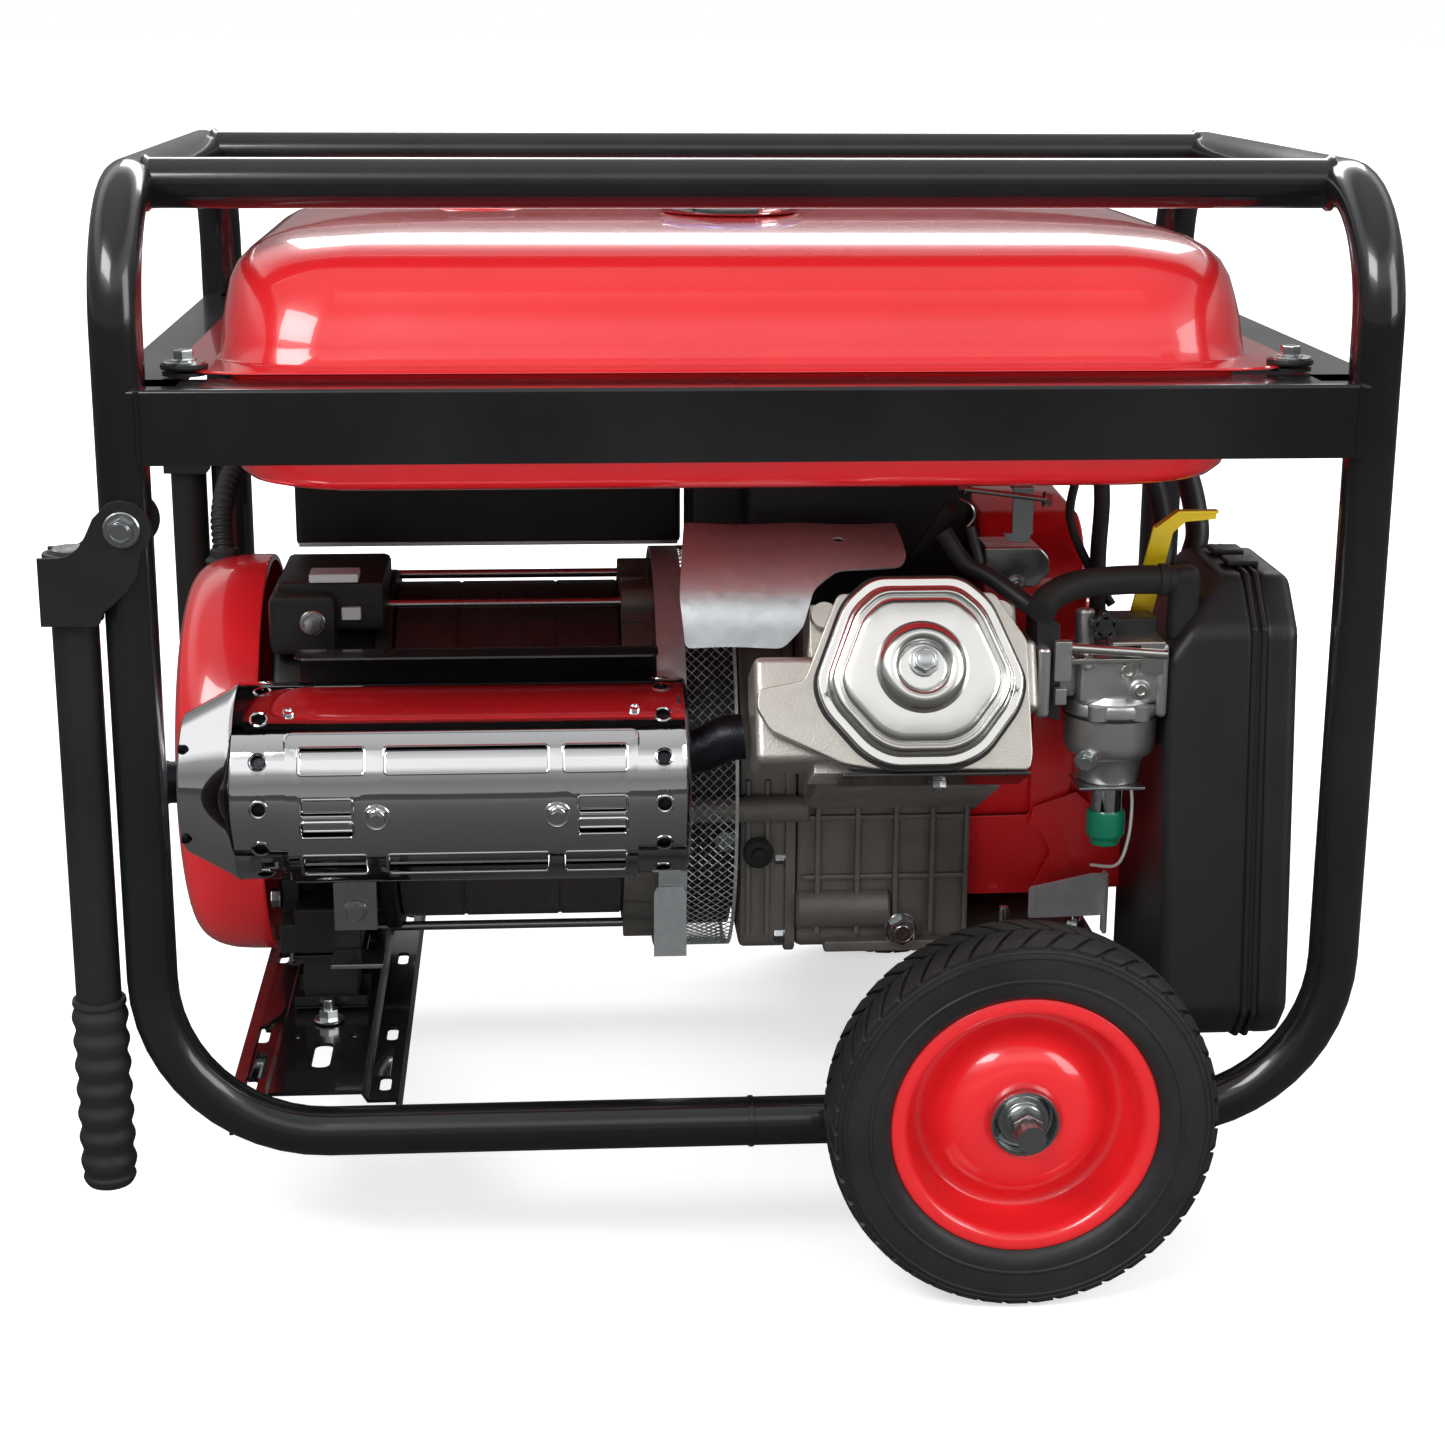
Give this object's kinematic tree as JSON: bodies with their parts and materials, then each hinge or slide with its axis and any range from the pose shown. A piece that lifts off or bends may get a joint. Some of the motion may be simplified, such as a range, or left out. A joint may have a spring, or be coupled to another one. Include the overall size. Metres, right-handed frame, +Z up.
{
  "type": "portable generator",
  "caption": "Open-frame petrol generator: tube frame with two wheels and folding handles, fuel tank on top, engine, alternator, chrome muffler and rear control panel.",
  "frame": {"origin": "on the floor plane under the wheels, at the middle of the overall box in X and Y", "axes": "+Z up; +X along the generator from the folding handles to the wheels; +Y towards the control panel, so -Y is the side with the muffler and the valve cover"},
  "size_m": [0.7309, 0.638, 0.6277],
  "materials": {
    "frame_black": "gloss black enamel over steel tube and sheet",
    "red_paint": "high-gloss red enamel",
    "chrome": "bright chrome plate",
    "zinc": "bright zinc plate, faint blue tint",
    "cast_aluminium": "sand-cast and die-cast aluminium, matt",
    "lamination_steel": "varnished steel laminations",
    "shaft_steel": "machined steel",
    "copper_winding": "varnished copper winding on a steel core",
    "rubber": "black moulded rubber",
    "tyre_rubber": "black tyre rubber",
    "black_plastic": "black moulded plastic, fine texture",
    "grey_plastic": "grey moulded plastic",
    "red_plastic": "glossy red plastic",
    "yellow_paint": "yellow enamel",
    "filter_foam": "oiled filter foam"
  },
  "bodies": {
    "frame": {"frame_tube_left": "frame_black", "frame_tube_right": "frame_black", "top_rail_front": "frame_black", "top_rail_rear": "frame_black", "tank_tray": "frame_black", "cross_member_alternator": "frame_black", "cross_member_engine": "frame_black", "muffler_inner_guard": "frame_black", "alternator_rear_bracket": "frame_black", "fuel_tank": "red_paint", "alternator_end_cover": "red_paint", "blower_housing": "red_paint", "muffler": "chrome", "muffler_heat_shield": "chrome", "valve_cover": "chrome", "wheel_axle": "zinc", "handle_pivot_bolt_front": "zinc", "handle_pivot_bolt_rear": "zinc", "exhaust_heat_shield": "zinc", "coupling_guard": "zinc", "fuel_solenoid": "zinc", "alternator_front_bracket": "cast_aluminium", "crankcase": "cast_aluminium", "crankcase_cover": "cast_aluminium", "cylinder_head": "cast_aluminium", "carburettor": "cast_aluminium", "float_bowl": "cast_aluminium", "stator_core": "lamination_steel", "mount_alternator_front": "rubber", "mount_alternator_rear": "rubber", "mount_engine_front": "rubber", "mount_engine_rear": "rubber", "breather_tube": "rubber", "fuel_hose": "rubber", "recoil_starter": "black_plastic", "air_cleaner_case": "black_plastic", "air_cleaner_cover": "black_plastic", "control_box": "black_plastic", "conduit": "black_plastic", "air_filter": "filter_foam"},
    "wheel_front": {"tyre_front": "tyre_rubber", "rim_front": "red_paint"},
    "wheel_rear": {"tyre_rear": "tyre_rubber", "rim_rear": "red_paint"},
    "handle_front": {"handle_arm_front": "frame_black", "handle_grip_front": "rubber"},
    "handle_rear": {"handle_arm_rear": "frame_black", "handle_grip_rear": "rubber"},
    "shaft": {"crankshaft": "shaft_steel", "flywheel": "shaft_steel", "rotor": "copper_winding", "cooling_fan": "grey_plastic"},
    "fuel_cap": {"fuel_cap": "zinc"},
    "choke_lever": {"choke_lever": "yellow_paint"},
    "recoil_grip": {"recoil_grip": "rubber"},
    "recoil_pulley": {"recoil_pulley": "grey_plastic"},
    "breaker_toggle": {"breaker_toggle": "black_plastic"},
    "engine_switch": {"engine_switch": "red_plastic"},
    "socket_lid_1": {"socket_lid_1": "grey_plastic"},
    "socket_lid_2": {"socket_lid_2": "grey_plastic"}
  },
  "joints": [
    {"name": "wheel_front_spin", "type": "hinge", "parent": "frame", "child": "wheel_front", "pos_m": [0.16375, -0.2815, 0.11], "axis": [0, 1, 0], "continuous": true},
    {"name": "wheel_rear_spin", "type": "hinge", "parent": "frame", "child": "wheel_rear", "pos_m": [0.16375, 0.2815, 0.11], "axis": [0, 1, 0], "continuous": true},
    {"name": "handle_front_fold", "type": "hinge", "parent": "frame", "child": "handle_front", "pos_m": [-0.32025, -0.234, 0.4407], "axis": [0, 1, 0], "range_deg": [0, 80]},
    {"name": "handle_rear_fold", "type": "hinge", "parent": "frame", "child": "handle_rear", "pos_m": [-0.32025, 0.234, 0.4407], "axis": [0, 1, 0], "range_deg": [0, 80]},
    {"name": "shaft_spin", "type": "hinge", "parent": "frame", "child": "shaft", "pos_m": [0.01575, 0.04, 0.2357], "axis": [1, 0, 0], "continuous": true},
    {"name": "fuel_cap_turn", "type": "hinge", "parent": "frame", "child": "fuel_cap", "pos_m": [0.01575, -0.025, 0.5977], "axis": [0, 0, 1], "range_deg": [0, 90]},
    {"name": "choke_lever_swing", "type": "hinge", "parent": "frame", "child": "choke_lever", "pos_m": [0.25575, -0.118, 0.3517], "axis": [0, 1, 0], "range_deg": [-35, 0]},
    {"name": "recoil_pull", "type": "slide", "parent": "frame", "child": "recoil_grip", "axis": [1, 0, 0], "range_m": [0, 0.5]},
    {"name": "recoil_pulley_spin", "type": "hinge", "parent": "frame", "child": "recoil_pulley", "pos_m": [0.28575, 0.04, 0.2357], "axis": [1, 0, 0], "range_deg": [0, 720]},
    {"name": "breaker_toggle_flip", "type": "hinge", "parent": "frame", "child": "breaker_toggle", "pos_m": [-0.17425, 0.234, 0.4097], "axis": [1, 0, 0], "range_deg": [0, 40]},
    {"name": "engine_switch_turn", "type": "hinge", "parent": "frame", "child": "engine_switch", "pos_m": [-0.22925, 0.234, 0.3857], "axis": [0, 1, 0], "range_deg": [0, 90]},
    {"name": "socket_lid_1_open", "type": "hinge", "parent": "frame", "child": "socket_lid_1", "pos_m": [-0.11425, 0.2425, 0.4357], "axis": [1, 0, 0], "range_deg": [0, 110]},
    {"name": "socket_lid_2_open", "type": "hinge", "parent": "frame", "child": "socket_lid_2", "pos_m": [-0.05225, 0.2425, 0.4357], "axis": [1, 0, 0], "range_deg": [0, 110]}
  ],
  "couplings": [
    {"joint": "recoil_pulley_spin", "follows": "recoil_pull", "rad_per_m": 25}
  ]
}
